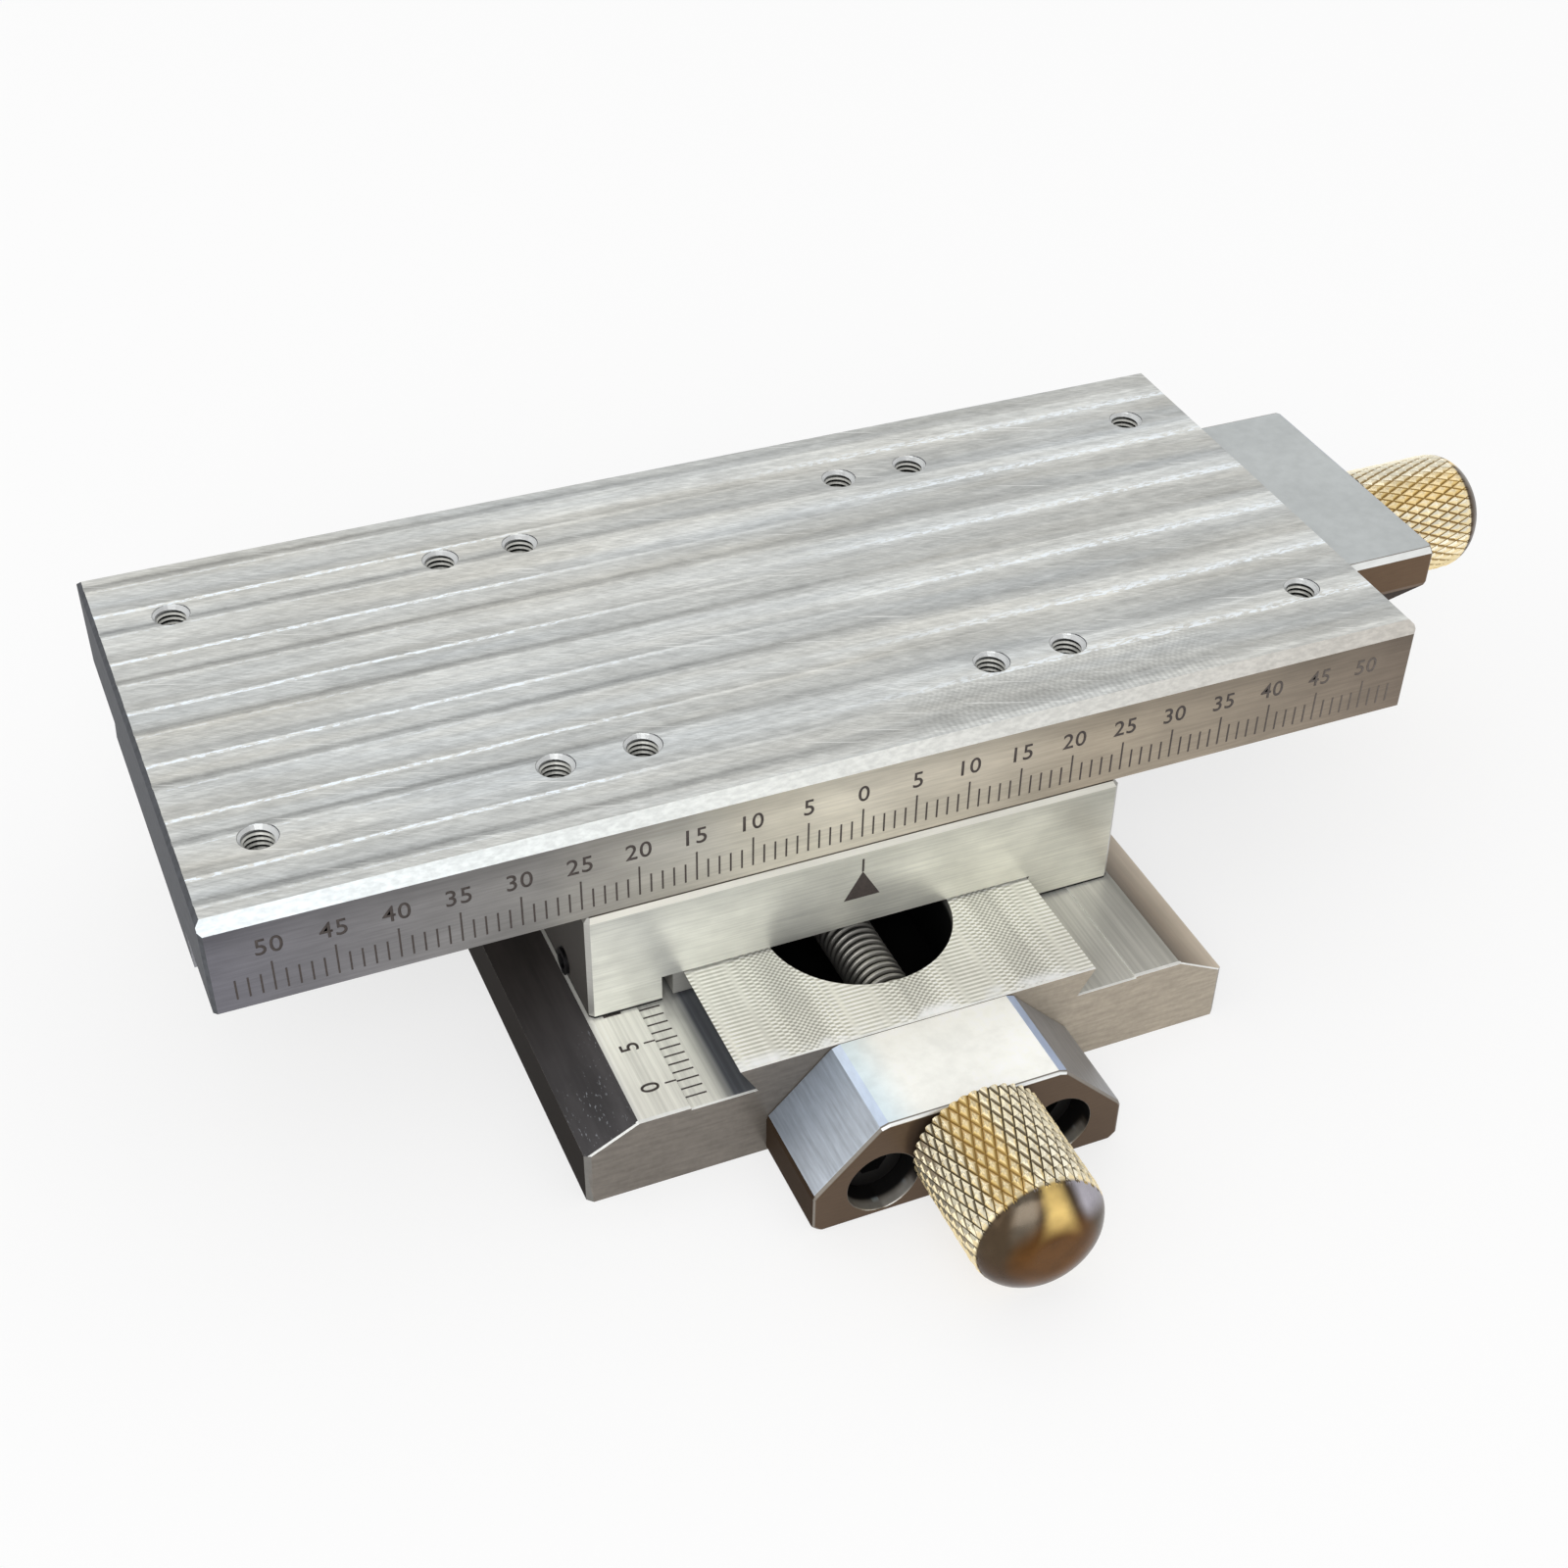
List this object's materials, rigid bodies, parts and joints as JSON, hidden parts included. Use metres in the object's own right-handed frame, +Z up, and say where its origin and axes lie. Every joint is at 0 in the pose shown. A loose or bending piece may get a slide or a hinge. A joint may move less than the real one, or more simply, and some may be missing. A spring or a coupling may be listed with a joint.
{
  "type": "cross slide table",
  "caption": "Cross slide table with a dovetailed base, a saddle and a fluted table, each slide driven by a feed screw with a knurled knob.",
  "frame": {"origin": "centre of the base plate's underside", "axes": "+X along the table's travel towards its knob, +Y from the front knob to the back, +Z up"},
  "size_m": [0.1343, 0.1043, 0.0278],
  "materials": {
    "milled_aluminium": "milled",
    "knob_brass": "knurled and polished",
    "nut_brass": "machined",
    "bearing_bronze": "turned",
    "ground_steel": "ground",
    "screw_steel": "plain",
    "black_steel": "black oxide"
  },
  "bodies": {
    "base": {"base_plate": "milled_aluminium", "y_end_block": "milled_aluminium", "y_block_screws": "screw_steel", "y_bush": "bearing_bronze", "y_thrust_washers": "bearing_bronze"},
    "y_drive": {"y_feed_screw": "ground_steel", "y_knob": "knob_brass", "y_knob_set_screw": "black_steel"},
    "saddle": {"saddle": "milled_aluminium", "y_nut": "nut_brass", "y_nut_screws": "screw_steel", "y_gib": "ground_steel", "y_gib_screws": "black_steel", "x_nut": "nut_brass", "x_nut_screws": "screw_steel", "x_gib": "ground_steel", "x_gib_screws": "black_steel"},
    "table": {"table_plate": "milled_aluminium", "x_end_block": "milled_aluminium", "x_block_screws": "screw_steel", "x_bush": "bearing_bronze", "x_thrust_washers": "bearing_bronze"},
    "x_drive": {"x_feed_screw": "ground_steel", "x_knob": "knob_brass", "x_knob_set_screw": "black_steel"}
  },
  "joints": [
    {"name": "y_slide", "type": "slide", "parent": "base", "child": "saddle", "axis": [0, 1, 0], "range_m": [-0.01, 0.015]},
    {"name": "x_slide", "type": "slide", "parent": "saddle", "child": "table", "axis": [1, 0, 0], "range_m": [-0.0296, 0.0296]},
    {"name": "y_screw", "type": "hinge", "parent": "base", "child": "y_drive", "pos_m": [0, -0.04, 0.00655], "axis": [0, -1, 0], "range_deg": [-4501, 6751]},
    {"name": "x_screw", "type": "hinge", "parent": "table", "child": "x_drive", "pos_m": [0.055, -0.0012, 0.0203], "axis": [1, 0, 0], "range_deg": [-13321, 13321]}
  ],
  "couplings": [
    {"joint": "y_screw", "follows": "y_slide", "rad_per_m": 7854},
    {"joint": "x_screw", "follows": "x_slide", "rad_per_m": 7854}
  ]
}
